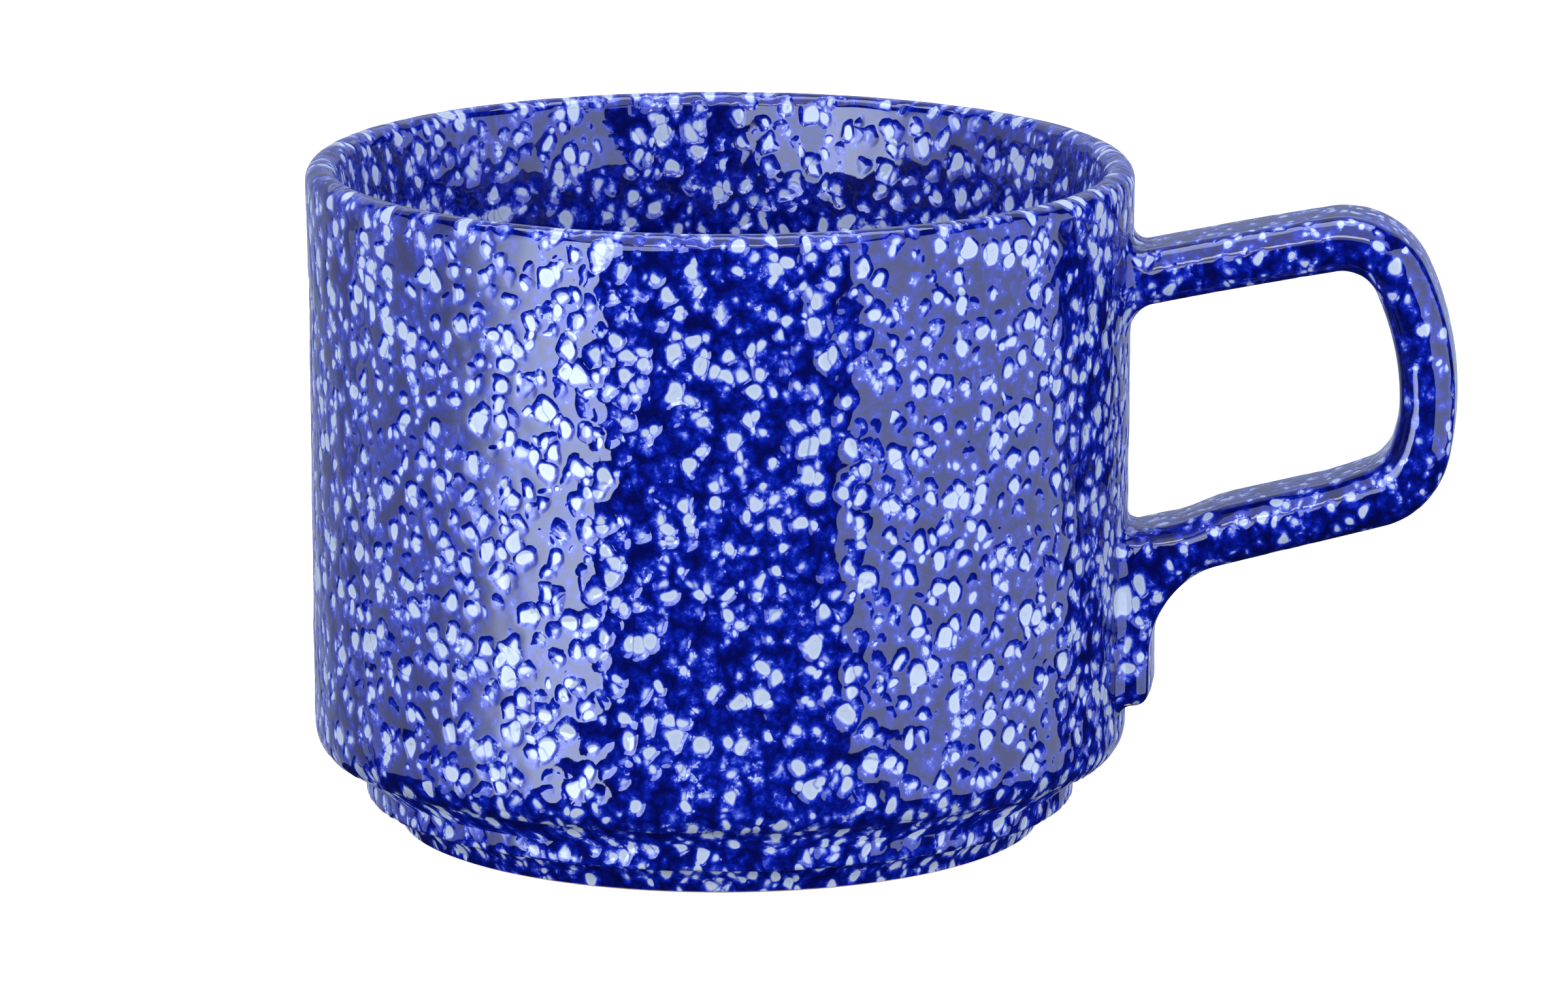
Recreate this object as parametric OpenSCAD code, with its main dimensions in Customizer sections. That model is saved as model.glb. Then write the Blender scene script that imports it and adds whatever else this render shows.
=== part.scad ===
// Stacking stoneware mug with a loop handle, speckled cobalt glaze.
// The cup's axis is Z, its foot stands on z = 0 and the handle points to +X.
// Every size below is of the glazed surface. The clay lies one glaze thickness inside it.

/* [Cup] */
// Outer diameter of the wall at mid height
cup_d = 90; // [86:0.5:96]
// Height from the table to the top of the lip
cup_h = 73.6; // [70:0.2:84]
// Thickness of the wall and the lip
wall_t = 3.5; // [3:0.1:4.5]
// How far the lip leans out beyond the wall
lip_flare = 0.3; // [0:0.05:0.8]
// How far the wall draws in from mid height to its lower end
wall_taper = 0.3; // [0:0.05:0.8]
// How much the wall thickens inside, below the lip
inner_ease = 1.9; // [1.3:0.1:2.2]
// Radius of the rounding under the wall
corner_r = 4; // [3:0.1:5]
// Radius of the rounding inside, between wall and floor
inner_corner_r = 15; // [13:0.5:18]
// Height of the inside floor over the table
floor_z = 7; // [6.5:0.1:9]

/* [Stepped foot] */
// How far the body's sharp lower edge lies inside the wall
edge_inset = 1.6; // [1:0.1:2.2]
// Height of the body's lower edge
edge_z = 8.6; // [8:0.1:9.5]
// Radius of the upper ring, which drops inside the lip of the mug below
ring_r = 39.2; // [37:0.1:39.5]
// Height of the upper ring's lower edge
ring_z = 3.3; // [2.8:0.1:4]
// Radius of the standing ring at its top
foot_top_r = 36.5; // [35.5:0.1:36.8]
// Radius of the standing ring where it meets the table
foot_r = 35; // [34:0.1:35.4]
// Width of the standing ring
foot_w = 3.5; // [3:0.1:6]
// Depth of the recess inside the standing ring
recess_z = 2; // [1.2:0.1:2.6]

/* [Handle] */
// Height of the strap's centre where the upper arm leaves the wall
arm_z = 61.7; // [61:0.1:62.5]
// Rise of the upper arm, away from the wall, in degrees
arm_slope = 12.5; // [11:0.5:14]
// Length of the upper arm
arm_len = 22.5; // [21:0.5:25]
// How far the upper arm bends down along its length, in degrees
arm_bow = 2.2; // [0:0.1:4]
// Centre-line radius of the upper bend
bend_r = 6.9; // [6.5:0.1:8]
// Turn of the upper bend, in degrees
bend_turn = 75; // [72:1:78]
// Centre-line radius of the bowed back
back_r = 30.9; // [30:0.1:32]
// Turn of the bowed back, in degrees
back_turn = 36; // [34:1:38]
// Centre-line radius of the lower bend
low_bend_r = 6.5; // [6:0.1:7.5]
// Fall of the lower arm, towards the wall, in degrees
low_slope = 14; // [12:0.5:16]
// Width of the strap
strap_w = 12.7; // [12:0.1:14]
// Thickness of the strap along the upper arm and the back
strap_t = 6.4; // [6:0.1:6.8]
// How far the top of the lower arm dips where it meets the wall
root_dip = 2.3; // [1.5:0.1:2.6]
// How far the underside of the lower arm drops where it meets the wall
root_drop = 0.65; // [0.4:0.05:0.8]
// How much the lower bend is filled out on the loop's inside, at its middle
bend_fill = 0.2; // [0:0.05:0.3]

/* [Tail of the handle] */
// Height of the tail's lower end, below the lower arm
tail_z = 14.6; // [13.5:0.1:16]
// How far the tail stands out from the wall
tail_out = 3.1; // [2.6:0.1:3.6]
// Half of the tail's width
tail_half = 6.7; // [6.5:0.1:7.2]
// Radius of the tail's rounded lower end
tail_round = 1.8; // [1.2:0.1:2.2]
// Radius of the hollow between the tail and the lower arm
crook_r = 7; // [6.5:0.1:7.5]

/* [Glaze and slip] */
// Thickness of the fired glaze
glaze_t = 0.45; // [0.35:0.05:0.6]
// Height over the table where the glaze on the foot stops
glaze_line = 0.25; // [0.15:0.05:0.5]
// How far the slip bead reaches past the strap
slip_w = 1.9; // [1.5:0.1:2.2]
// How far the slip bead stands out from the wall
slip_out = 1.1; // [0.9:0.1:1.3]

/* [Hidden] */
$fn = 128;

lip_r = wall_t / 2;
wall_r = cup_d / 2;
rim_r = wall_r + lip_flare;
low_r = wall_r - wall_taper;
edge_r = wall_r - edge_inset;
flare_h = 14;
// Below the lip the inside narrows over ease_h, steepest at the top, to the radius inner_r.
ease_h = 13;
ease_power = 1.3;
lip_lean = atan(ease_power * inner_ease / ease_h);
inner_r = rim_r - lip_r - lip_r * cos(lip_lean) - inner_ease;
foot_in_r = foot_r - foot_w;
ring_draft = 0.2;
arc_steps = 12;
ease_steps = 6;
bowl_steps = 20;

// The corner's arc runs from the wall down to the sharp lower edge of the body.
corner_x = low_r - corner_r;
corner_drop = sqrt(pow(corner_r, 2) - pow(edge_r - corner_x, 2));
corner_z = edge_z + corner_drop;

clay_colour = [0.76, 0.66, 0.55];
slip_colour = [0.70, 0.61, 0.52];
glaze_colour = [0.05, 0.06, 0.50];

// ---- cup ----

// Points of an arc about c, from angle a0 to a1.
function arc(c, r, a0, a1, n = arc_steps) =
    [for (i = [0:n]) let (a = a0 + (a1 - a0) * i / n) c + r * [cos(a), sin(a)]];

// The flare eases the wall into the lip.
function flare_pts(d) =
    [for (i = [1:ease_steps]) let (t = i / ease_steps, f = (1 + cos(180 * t)) / 2)
        [wall_r + lip_flare * f - d, cup_h - lip_r - flare_h * t]];

// Outside of the cup, from the top of the lip to the standing ring, d below the glazed surface.
function outer_pts(d) = concat(
    arc([rim_r - lip_r, cup_h - lip_r], lip_r - d, 90, 0),
    flare_pts(d),
    arc([corner_x, corner_z], corner_r - d, 0, -asin((corner_drop - d) / (corner_r - d))),
    [[ring_r - d, edge_z + d],
     [ring_r - ring_draft - d, ring_z + d],
     [foot_top_r - d, ring_z + d],
     [foot_r + (foot_top_r - foot_r) * glaze_line / ring_z - d, glaze_line]]);

// The inside eases from the lip into the upright wall.
function ease_pts(d) =
    [for (i = [1:ease_steps]) let (t = i / ease_steps)
        [inner_r + inner_ease * pow(1 - t, ease_power) + d,
         cup_h - lip_r + lip_r * sin(lip_lean) - ease_h * t]];

// Inside of the cup, from the top of the lip to the middle of the floor, d behind the glazed surface.
function inner_pts(d) = concat(
    arc([rim_r - lip_r, cup_h - lip_r], lip_r - d, 90, 180 - lip_lean),
    ease_pts(d),
    arc([inner_r - inner_corner_r, floor_z + inner_corner_r], inner_corner_r + d, 0, -90, bowl_steps),
    [[0, floor_z - d]]);

function reversed(pts) = [for (i = [len(pts) - 1:-1:0]) pts[i]];

// Solid of the whole cup without its hollow, d below the glazed surface.
module cup_blank(d) {
    rotate_extrude()
        polygon(concat([[0, cup_h - d]], outer_pts(d), [[0, glaze_line]]));
}

module cup_body() {
    g = glaze_t;
    color(clay_colour)
        rotate_extrude()
            polygon(concat(
                outer_pts(g),
                [[foot_r - g, 0], [foot_in_r + g, 0], [foot_in_r + g, recess_z + g], [0, recess_z + g]],
                reversed(inner_pts(g))));
}

// ---- handle ----

// A path is walked as [x, z, heading]. A step is [length, turn to the right in degrees].
function walk(p, step, t) =
    abs(step[1]) < 0.001
    ? [p[0] + step[0] * t * cos(p[2]), p[1] + step[0] * t * sin(p[2]), p[2]]
    : let (r = step[0] / (step[1] * PI / 180), h = p[2] - step[1] * t)
      [p[0] + r * (sin(p[2]) - sin(h)), p[1] + r * (cos(h) - cos(p[2])), h];

function arc_len(r, turn) = r * turn * PI / 180;

low_turn = 180 + arm_slope - arm_bow - bend_turn - back_turn - low_slope;
root_in = 2.4;
arm_start = [wall_r, arm_z, arm_slope];
arm_end = walk(arm_start, [arm_len, arm_bow], 1);
bend_end = walk(arm_end, [arc_len(bend_r, bend_turn), bend_turn], 1);
back_end = walk(bend_end, [arc_len(back_r, back_turn), back_turn], 1);
low_bend_end = walk(back_end, [arc_len(low_bend_r, low_turn), low_turn], 1);
low_len = (low_bend_end[0] - wall_r + root_in) / cos(low_slope);

// Cross-sections along each stretch of the strap: upper arm, upper bend, back, lower bend, lower arm.
arm_steps = 6;
bend_steps = 9;
back_steps = 7;
low_bend_steps = 8;
low_steps = 5;
// The stations of the strap, from inside the wall, round the loop and back into the wall.
stations = concat(
    [walk(arm_start, [-root_in, 0], 1)],
    [for (i = [0:arm_steps - 1]) walk(arm_start, [arm_len, arm_bow], i / arm_steps)],
    [for (i = [0:bend_steps - 1]) walk(arm_end, [arc_len(bend_r, bend_turn), bend_turn], i / bend_steps)],
    [for (i = [0:back_steps - 1]) walk(bend_end, [arc_len(back_r, back_turn), back_turn], i / back_steps)],
    [for (i = [0:low_bend_steps - 1])
        walk(back_end, [arc_len(low_bend_r, low_turn), low_turn], i / low_bend_steps)],
    [for (i = [0:low_steps]) walk(low_bend_end, [low_len, 0], i / low_steps)]);

section_steps = 20;
section_power = 2 / 3;
function signed_pow(v) = sign(v) * pow(abs(v), section_power);
// A rounded rectangle as a superellipse, with half sizes a and b.
function rounded(a, b) =
    [for (k = [0:section_steps - 1]) let (w = 360 * k / section_steps)
        [a * signed_pow(cos(w)), b * signed_pow(sin(w))]];

// The share of a change at station i that is spread evenly over the last stations before the wall.
function growth(i, over) = max(0, (i - len(stations) + 1 + over) / over);
// How far station i lies along the lower bend, from 0 to 1.
function bend_share(i) =
    max(0, min(1, (i - len(stations) + 1 + low_steps + low_bend_steps) / low_bend_steps));
// Half thickness of the strap towards the loop's inside and outside. The lower arm's top dips over the last
// dipping stations and its underside drops over the last dropping ones, on into the clay of the wall.
dipping = 2.5;
dropping = 11;
dip_more = 1.3;
function half_in(i) =
    strap_t / 2 - root_dip * dip_more * growth(i, dipping) + bend_fill * pow(sin(180 * bend_share(i)), 2);
function half_out(i) = strap_t / 2 + root_drop * growth(i, dropping);

// Skin of a tube from rings of points, with flat ends. Every face is a triangle.
module skin(rings) {
    n = len(rings[0]);
    m = len(rings);
    sides = [for (i = [0:m - 2], k = [0:n - 1], half = [0, 1])
        let (a = i * n + k, b = i * n + (k + 1) % n)
        half == 0 ? [a, b + n, b] : [a, a + n, b + n]];
    ends = [for (k = [1:n - 2], top = [0, 1])
        top == 0 ? [0, k, k + 1] : let (t = (m - 1) * n) [t, t + k + 1, t + k]];
    polyhedron(points = [for (r = rings) each r], faces = concat(sides, ends));
}

// The strap, d below the glazed surface.
module strap(d) {
    skin([for (i = [0:len(stations) - 1])
        let (s = stations[i], half = (half_in(i) + half_out(i)) / 2, shift = (half_out(i) - half_in(i)) / 2)
        [for (q = rounded(strap_w / 2 - d, half - d))
            let (off = q[1] + shift) [s[0] - sin(s[2]) * off, q[0], s[1] + cos(s[2]) * off]]]);
}

// The hollow starts at crook_z and follows most of a quarter turn up into the lower arm.
crook_z = 22.4;
crook_part = 0.96;
crook_lift = crook_r * crook_part;
tail_over = 1.4;
tail_top = crook_z + crook_lift + tail_over;
tail_narrowing = 0.6;
tail_r = low_r + tail_out;
// Blanks that join the wall start this far out from the cup's axis, inside the clay.
joint_root = wall_r - 2.8;
joint_reach = 10;

// How far the tail's face lies from the cup's axis at height z.
function tail_reach(z) =
    z < tail_z + tail_round
    ? tail_r - tail_round + sqrt(max(0, pow(tail_round, 2) - pow(tail_z + tail_round - z, 2)))
    : z < crook_z ? tail_r
    : tail_r + crook_r - sqrt(pow(crook_r, 2) - pow(min(z - crook_z, crook_lift), 2));

// Heights of the tail's cross-sections, from its lower end up, d inside the glazed surface.
level_gap = 0.1;
round_steps = 4;
crook_steps = 6;
function tail_levels(d) = concat(
    [tail_z + d],
    [for (i = [1:round_steps])
        let (z = tail_z + tail_round * (1 - cos(90 * i / round_steps))) if (z > tail_z + d + level_gap) z],
    [(tail_z + tail_round + crook_z) / 2],
    [for (i = [0:crook_steps]) crook_z + crook_lift * sin(90 * i / crook_steps)],
    [tail_top]);

// The tail: the strap's end pressed down along the wall, d below the glazed surface.
module tail(d) {
    skin([for (z = reversed(tail_levels(d)))
        let (reach = tail_reach(z) - d - joint_root,
             half = tail_half - d - tail_narrowing * max(0, z - crook_z) / (tail_top - crook_z))
        [for (q = rounded(half, reach / 2)) [joint_root + reach / 2 + q[1], q[0], z]]]);
}

// The whole handle, d below the glazed surface, still reaching into the wall.
module handle_blank(d) {
    strap(d);
    tail(d);
}

module handle() {
    color(clay_colour)
        difference() {
            handle_blank(glaze_t);
            cup_blank(glaze_t);
        }
}

// ---- slip beads where the handle meets the wall ----

// A low pad on the wall: a rounded outline with half sizes a and b, centred at height z.
module pad(a, b, z, d) {
    intersection() {
        cylinder(r = wall_r + slip_out - d, h = cup_h - wall_t);
        translate([joint_root, 0, z])
            rotate([90, 0, 90])
                linear_extrude(joint_reach)
                    polygon(rounded(a - d, b - d));
    }
}

// A bead reaches a little further past the strap in height, where it slopes, and past the tail.
slip_more = 0.6;
module upper_pad(d) { pad(strap_w / 2 + slip_w, strap_t / 2 + slip_w + slip_more, arm_z, d); }

// The lower bead encloses the lower arm's root and the tail.
low_root_drop = 26.6;
low_pad_top = arm_z - low_root_drop;
low_pad_bottom = tail_z - slip_w - slip_more;
module lower_pad(d) {
    half = (low_pad_top - low_pad_bottom) / 2;
    pad(tail_half + slip_w + slip_more, half, low_pad_bottom + half, d);
}

module upper_joint_slip() {
    color(slip_colour)
        difference() {
            upper_pad(glaze_t);
            strap(glaze_t);
            cup_blank(glaze_t);
        }
}

module lower_joint_slip() {
    color(slip_colour)
        difference() {
            lower_pad(glaze_t);
            strap(glaze_t);
            tail(glaze_t);
            cup_blank(glaze_t);
        }
}

// ---- glaze ----

module outer_glaze() {
    color(glaze_colour)
        difference() {
            rotate_extrude()
                polygon(concat(outer_pts(0), reversed(outer_pts(glaze_t))));
            upper_pad(glaze_t);
            lower_pad(glaze_t);
        }
}

module liner_glaze() {
    color(glaze_colour)
        rotate_extrude()
            polygon(concat(inner_pts(0), reversed(inner_pts(glaze_t))));
}

module handle_glaze() {
    color(glaze_colour)
        difference() {
            union() {
                handle_blank(0);
                upper_pad(0);
                lower_pad(0);
            }
            handle_blank(glaze_t);
            upper_pad(glaze_t);
            lower_pad(glaze_t);
            cup_blank(0);
        }
}

module base_glaze() {
    color(glaze_colour)
        rotate_extrude()
            polygon([[0, recess_z], [foot_in_r, recess_z], [foot_in_r, glaze_line],
                     [foot_in_r + glaze_t, glaze_line], [foot_in_r + glaze_t, recess_z + glaze_t],
                     [0, recess_z + glaze_t]]);
}

cup_body();
handle();
upper_joint_slip();
lower_joint_slip();
outer_glaze();
liner_glaze();
handle_glaze();
base_glaze();
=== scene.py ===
"""Speckled cobalt stacking mug: the glaze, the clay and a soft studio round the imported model.

Lengths are millimetres up to the studio, as in the part's own design. MM turns them into metres.
"""

import math

import bpy
import numpy as np
from mathutils import Matrix, Vector


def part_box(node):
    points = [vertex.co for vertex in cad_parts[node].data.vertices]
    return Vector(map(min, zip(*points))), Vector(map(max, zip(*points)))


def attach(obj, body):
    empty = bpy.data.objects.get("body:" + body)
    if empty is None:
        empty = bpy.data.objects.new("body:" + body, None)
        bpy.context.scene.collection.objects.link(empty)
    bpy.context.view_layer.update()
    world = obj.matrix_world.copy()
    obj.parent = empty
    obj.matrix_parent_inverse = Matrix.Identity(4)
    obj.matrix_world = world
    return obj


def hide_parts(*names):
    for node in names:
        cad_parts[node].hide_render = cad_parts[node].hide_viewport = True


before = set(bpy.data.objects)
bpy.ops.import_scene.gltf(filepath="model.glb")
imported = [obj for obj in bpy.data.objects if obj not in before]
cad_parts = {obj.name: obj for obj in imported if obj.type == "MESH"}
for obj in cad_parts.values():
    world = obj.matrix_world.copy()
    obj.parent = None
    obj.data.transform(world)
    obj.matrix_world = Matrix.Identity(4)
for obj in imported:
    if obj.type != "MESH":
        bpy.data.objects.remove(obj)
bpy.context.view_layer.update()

MM = 0.001

# ---- sizes of the glazed surface, from the CAD boxes where these give them ----
outer_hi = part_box("outer_glaze")[1]
CUP_H = outer_hi.z / MM
RIM_R = outer_hi.x / MM
LIP_R = 1.75
LIP_FLARE, WALL_TAPER, EDGE_INSET = 0.3, 0.3, 1.6
WALL_R = RIM_R - LIP_FLARE
LOW_R = WALL_R - WALL_TAPER
FLARE_H = 14.0
FLARE_Z = CUP_H - LIP_R - FLARE_H
CORNER_R = 4.0
EDGE_R = WALL_R - EDGE_INSET
EDGE_Z = 8.6
RING_R = 39.2
RING_LOW_R = 39.0
RING_Z = 3.3
FOOT_TOP_R = 36.5
FOOT_R = 35.0
GLAZE_LINE = 0.25
FLOOR_Z = 7.0
INNER_EASE, EASE_H, EASE_POWER = 1.9, 13.0, 1.3
LIP_LEAN = math.atan(EASE_POWER * INNER_EASE / EASE_H)
INNER_R = RIM_R - LIP_R - LIP_R * math.cos(LIP_LEAN) - INNER_EASE
INNER_CORNER_R = 15.0
FOOT_IN_R = 31.5
RECESS_Z = 2.0
GLAZE_T = 0.45
CORNER_X = LOW_R - CORNER_R
CORNER_Z = EDGE_Z + math.sqrt(CORNER_R ** 2 - (EDGE_R - CORNER_X) ** 2)
TURN_STEPS = 580


# ---- small geometry helpers ----
def arc(cx, cz, r, a0, a1, step):
    """Points on an arc from angle a0 to a1 in degrees, about step apart."""
    n = max(2, math.ceil(abs(math.radians(a1 - a0)) * r / step))
    t = np.radians(np.linspace(a0, a1, n + 1))
    return np.column_stack([cx + r * np.cos(t), cz + r * np.sin(t)])


def rounded_line(corners, radii, step, fine=0.12):
    """A polyline with rounded corners, as points step apart on the flats and finer on the rounds."""
    corners = np.array(corners, float)
    out = [corners[:1]]
    for i in range(1, len(corners) - 1):
        a, b, c = corners[i - 1], corners[i], corners[i + 1]
        u, v = (a - b) / np.linalg.norm(a - b), (c - b) / np.linalg.norm(c - b)
        half = math.acos(np.clip(u @ v, -1, 1)) / 2
        back = radii[i] / math.tan(half)
        centre = b + (u + v) / np.linalg.norm(u + v) * radii[i] / math.sin(half)
        p, q = b + u * back - centre, b + v * back - centre
        sweep = math.pi - 2 * half
        n = max(3, math.ceil(sweep * radii[i] / fine))
        w = np.linspace(0, 1, n + 1)[:, None]
        ring = (np.sin((1 - w) * sweep) * p + np.sin(w * sweep) * q) / math.sin(sweep)
        out.append(ring + centre)
    out.append(corners[-1:])
    dense = [out[0][0]]
    for part in out:
        for p in part:
            gap = np.linalg.norm(p - dense[-1])
            if gap < 1e-6:
                continue
            n = max(1, math.ceil(gap / step))
            start = dense[-1]
            dense.extend(start + (p - start) * k / n for k in range(1, n + 1))
    return np.array(dense)


def joined(*parts):
    """Point lists joined end to end, without the repeated points."""
    out = [parts[0]]
    for part in parts[1:]:
        out.append(part[1:] if np.linalg.norm(part[0] - out[-1][-1]) < 1e-4 else part)
    return np.vstack(out)


# ---- the pattern: one field of dots in space, used for both the relief and the colour ----
class Nodes:
    """Adds nodes to a shader tree or a geometry tree with the same few calls."""

    def __init__(self, tree):
        self.tree = tree

    def add(self, kind, **props):
        node = self.tree.nodes.new(kind)
        for key, value in props.items():
            setattr(node, key, value)
        return node

    def put(self, socket, value):
        if isinstance(value, bpy.types.NodeSocket):
            self.tree.links.new(value, socket)
        elif value is not None:
            socket.default_value = value

    def math(self, op, a, b=None, c=None):
        node = self.add("ShaderNodeMath", operation=op)
        for socket, value in zip(node.inputs, (a, b, c)):
            self.put(socket, value)
        return node.outputs[0]

    def vmath(self, op, a, b=None, scale=None):
        node = self.add("ShaderNodeVectorMath", operation=op)
        self.put(node.inputs[0], a)
        if b is not None:
            self.put(node.inputs[1], b)
        if scale is not None:
            self.put(node.inputs["Scale"], scale)
        return node.outputs[0]

    def noise(self, vector, scale, detail=1.0, rough=0.5):
        node = self.add("ShaderNodeTexNoise")
        self.put(node.inputs["Vector"], vector)
        self.put(node.inputs["Scale"], scale)
        self.put(node.inputs["Detail"], detail)
        self.put(node.inputs["Roughness"], rough)
        return node

    def cells(self, vector, size, random=1.0, apart=False):
        """Distance in mm to the nearest of many scattered points, and that point's random numbers.

        With apart, also the radius of the largest ball round that point that touches no other point's ball.
        """
        out = []
        for feature in ("F1", "N_SPHERE_RADIUS")[:2 if apart else 1]:
            node = self.add("ShaderNodeTexVoronoi", voronoi_dimensions="3D", feature=feature)
            self.put(node.inputs["Vector"], vector)
            self.put(node.inputs["Scale"], 1.0 / size)
            self.put(node.inputs["Randomness"], random)
            out.append(node)
        part = self.add("ShaderNodeSeparateXYZ")
        self.tree.links.new(out[0].outputs["Color"], part.inputs[0])
        far = self.math("MULTIPLY", out[0].outputs["Distance"], size)
        if not apart:
            return far, part.outputs
        return far, part.outputs, self.math("MULTIPLY", out[1].outputs["Radius"], size)

    def ramp(self, value, lo, hi, to_lo=0.0, to_hi=1.0, smooth=True):
        node = self.add("ShaderNodeMapRange")
        node.interpolation_type = "SMOOTHSTEP" if smooth else "LINEAR"
        sockets = {"Value": value, "From Min": lo, "From Max": hi, "To Min": to_lo, "To Max": to_hi}
        for key, v in sockets.items():
            self.put(node.inputs[key], v)
        return node.outputs[0]


# The dots are columns through the wall: between these two radii the pattern is pressed together radially.
COLUMN_LO, COLUMN_HI, COLUMN_PRESS = 36.0, 45.5, 0.65
# Dots are a little taller than wide, and SWAY mm of noise takes them out of round.
DOT_TALL = 0.74
SWAY, SWAY_SCALE = 1.3, 0.55
# The glaze runs thin on the handle, past these distances beyond the rim. Relief loses this share there.
THIN_LO, THIN_HI, THIN_SMOOTH = 1.0, 4.0, 0.75
# Two layers of dots: offset, cell, least radius, spread of radii, and what thin glaze takes off the radius.
DOT_LAYERS = (((31.7, 12.3, 5.1), 2.0, 0.40, 0.36, 0.14), ((14.9, 38.1, 27.7), 3.1, 0.45, 0.42, 0.20))
LAYER_RANDOM = 0.92
# A few big dots and many small ones: offset, cell, share of cells left empty, least radius, spread of radii.
BIG_DOTS = ((3.3, 47.9, 21.7), 8.5, 0.72, 1.05, 0.4)
SMALL_DOTS = ((9.1, 5.7, 33.3), 1.4, 0.36, 0.12, 0.34)
SMALL_THIN = 0.25  # how much more of the cells is empty where the glaze runs thin


def dot_fields(k, metres):
    """The place in mm, how thin the glaze is there, and how far inside a dot it lies, in mm.

    The depth comes four times: for the two layers of dots, for the big dots and for the small ones.
    """
    co = k.vmath("SCALE", metres, scale=1 / MM)
    sway = k.noise(co, SWAY_SCALE, 0.0).outputs["Color"]
    sway = k.vmath("SUBTRACT", sway, (0.5, 0.5, 0.5))
    p = k.vmath("ADD", co, k.vmath("SCALE", sway, scale=SWAY))
    flat = k.vmath("MULTIPLY", p, (1.0, 1.0, 0.0))
    reach = k.add("ShaderNodeVectorMath", operation="LENGTH")
    k.put(reach.inputs[0], flat)
    reach = reach.outputs["Value"]
    inward = k.ramp(reach, COLUMN_LO, COLUMN_HI, 0.0, COLUMN_HI - COLUMN_LO, smooth=False)
    pressed = k.math("DIVIDE", k.math("MULTIPLY", inward, -COLUMN_PRESS), k.math("MAXIMUM", reach, 1.0))
    p = k.vmath("ADD", p, k.vmath("SCALE", flat, scale=pressed))
    p = k.vmath("MULTIPLY", p, (1.0, 1.0, DOT_TALL))

    # The handle's glaze ran thinner: its dots are fewer and smaller, and its surface is smooth.
    part = k.add("ShaderNodeSeparateXYZ")
    k.put(part.inputs[0], co)
    thin = k.ramp(part.outputs[0], RIM_R + THIN_LO, RIM_R + THIN_HI)

    dots = []
    for offset, cell, least, spread, lost in DOT_LAYERS:
        far, rand, free = k.cells(k.vmath("ADD", p, offset), cell, LAYER_RANDOM, apart=True)
        size = k.math("MINIMUM", k.math("MULTIPLY_ADD", rand[0], spread, least), free)
        size = k.math("MULTIPLY_ADD", thin, -lost, size)
        dots.append(k.math("SUBTRACT", size, far))

    offset, cell, empty, least, spread = BIG_DOTS
    far, rand = k.cells(k.vmath("ADD", p, offset), cell)
    here = k.math("MULTIPLY", k.math("GREATER_THAN", rand[0], empty), k.math("LESS_THAN", thin, 0.5))
    size = k.math("MULTIPLY", here, k.math("MULTIPLY_ADD", rand[1], spread, least))
    big = k.math("SUBTRACT", size, far)

    offset, cell, empty, least, spread = SMALL_DOTS
    far, rand = k.cells(k.vmath("ADD", p, offset), cell)
    here = k.math("GREATER_THAN", rand[0], k.math("MULTIPLY_ADD", thin, SMALL_THIN, empty))
    size = k.math("MULTIPLY", here, k.math("MULTIPLY_ADD", rand[1], spread, least))
    small = k.math("SUBTRACT", size, far)
    return co, thin, dots[0], dots[1], big, small


def most(k, *values):
    """The largest of several values."""
    out = values[0]
    for value in values[1:]:
        out = k.math("MAXIMUM", out, value)
    return out


# Depth of the hollows, and height and resting level of the ripples, in mm.
PIT, RIPPLE, RIPPLE_REST = 0.10, 0.16, -0.085


def big_relief(k, metres):
    """Height of the relief that the mesh itself carries, in mm: hollows at large dots, and slow ripples."""
    co, thin, one, two, big, small = dot_fields(k, metres)
    pit = k.ramp(most(k, one, two, big), -0.75, 0.25)
    ripple = k.noise(co, 0.16, 0.0).outputs[0]
    ripple = k.math("MULTIPLY_ADD", ripple, RIPPLE, RIPPLE_REST)
    height = k.math("ADD", k.math("MULTIPLY", pit, -PIT), ripple)
    return k.math("MULTIPLY", height, k.math("MULTIPLY_ADD", thin, -THIN_SMOOTH, 1.0))


def relief_at(points):
    """big_relief at many points in mm, read back from a geometry tree."""
    mesh = bpy.data.meshes.new("probe")
    mesh.vertices.add(len(points))
    mesh.vertices.foreach_set("co", (points * MM).astype(np.float32).ravel())
    probe = bpy.data.objects.new("probe", mesh)
    bpy.context.scene.collection.objects.link(probe)
    tree = bpy.data.node_groups.new("probe", "GeometryNodeTree")
    tree.interface.new_socket("Geometry", in_out="INPUT", socket_type="NodeSocketGeometry")
    tree.interface.new_socket("Geometry", in_out="OUTPUT", socket_type="NodeSocketGeometry")
    k = Nodes(tree)
    enter, leave = k.add("NodeGroupInput"), k.add("NodeGroupOutput")
    store = k.add("GeometryNodeStoreNamedAttribute", data_type="FLOAT", domain="POINT")
    store.inputs["Name"].default_value = "relief"
    height = big_relief(k, k.add("GeometryNodeInputPosition").outputs[0])
    tree.links.new(height, store.inputs["Value"])
    tree.links.new(enter.outputs[0], store.inputs["Geometry"])
    tree.links.new(store.outputs[0], leave.inputs[0])
    probe.modifiers.new("probe", "NODES").node_group = tree
    seen = probe.evaluated_get(bpy.context.evaluated_depsgraph_get())
    data = seen.data.attributes["relief"].data
    out = np.zeros(len(points), np.float32)
    data.foreach_get("value", out)
    bpy.data.objects.remove(probe)
    bpy.data.meshes.remove(mesh)
    bpy.data.node_groups.remove(tree)
    return out.astype(float)


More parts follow.
